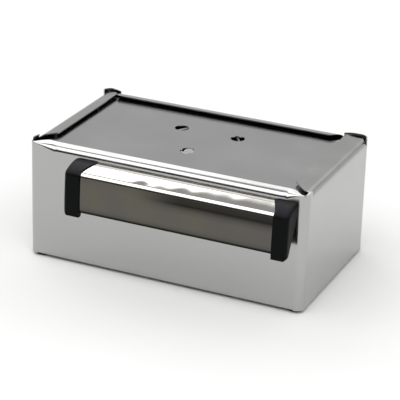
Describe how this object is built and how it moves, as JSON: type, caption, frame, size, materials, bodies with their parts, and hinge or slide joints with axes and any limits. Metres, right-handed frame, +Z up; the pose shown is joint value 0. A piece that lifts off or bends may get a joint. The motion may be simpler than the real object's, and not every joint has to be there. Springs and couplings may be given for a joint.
{
  "type": "napkin dispenser",
  "caption": "Low stainless steel box that feeds folded napkins up on a sprung follower plate to a frame of inward lips, with a hood-shaped front pull closed by plastic end caps.",
  "frame": {"origin": "bottom centre of the object's bounding box, the front pull included, on the plane the feet stand on", "axes": "+X to the right along the long side seen from the front, +Y from the front with the pull to the back, +Z up"},
  "size_m": [0.195, 0.1276, 0.0828],
  "materials": {
    "case_steel": "polished stainless sheet",
    "follower_steel": "polished stainless sheet",
    "spring_steel": "drawn spring wire",
    "pull_steel": "bright polished",
    "cap_plastic": "black moulded, satin",
    "fixing_steel": "bright",
    "foot_rubber": "black"
  },
  "bodies": {
    "case": {"body_shell": "case_steel", "back_seam_strap": "case_steel", "base_plate": "case_steel", "follower_spring": "spring_steel", "handle_bar": "pull_steel", "handle_cap_left": "cap_plastic", "handle_cap_right": "cap_plastic", "handle_screw_left": "fixing_steel", "handle_screw_right": "fixing_steel", "handle_washer_left": "fixing_steel", "handle_washer_right": "fixing_steel", "base_screw_front_left": "fixing_steel", "base_screw_front_right": "fixing_steel", "base_screw_back_left": "fixing_steel", "base_screw_back_right": "fixing_steel", "foot_front_left": "foot_rubber", "foot_front_right": "foot_rubber", "foot_back_left": "foot_rubber", "foot_back_right": "foot_rubber"},
    "follower": {"follower_plate": "follower_steel"}
  },
  "joints": [
    {"name": "follower_slide", "type": "slide", "parent": "case", "child": "follower", "axis": [0, 0, 1], "range_m": [-0.058, 0], "stiffness_N_per_m": 90, "springref_m": 0.035, "deforming": ["follower_spring"]}
  ]
}
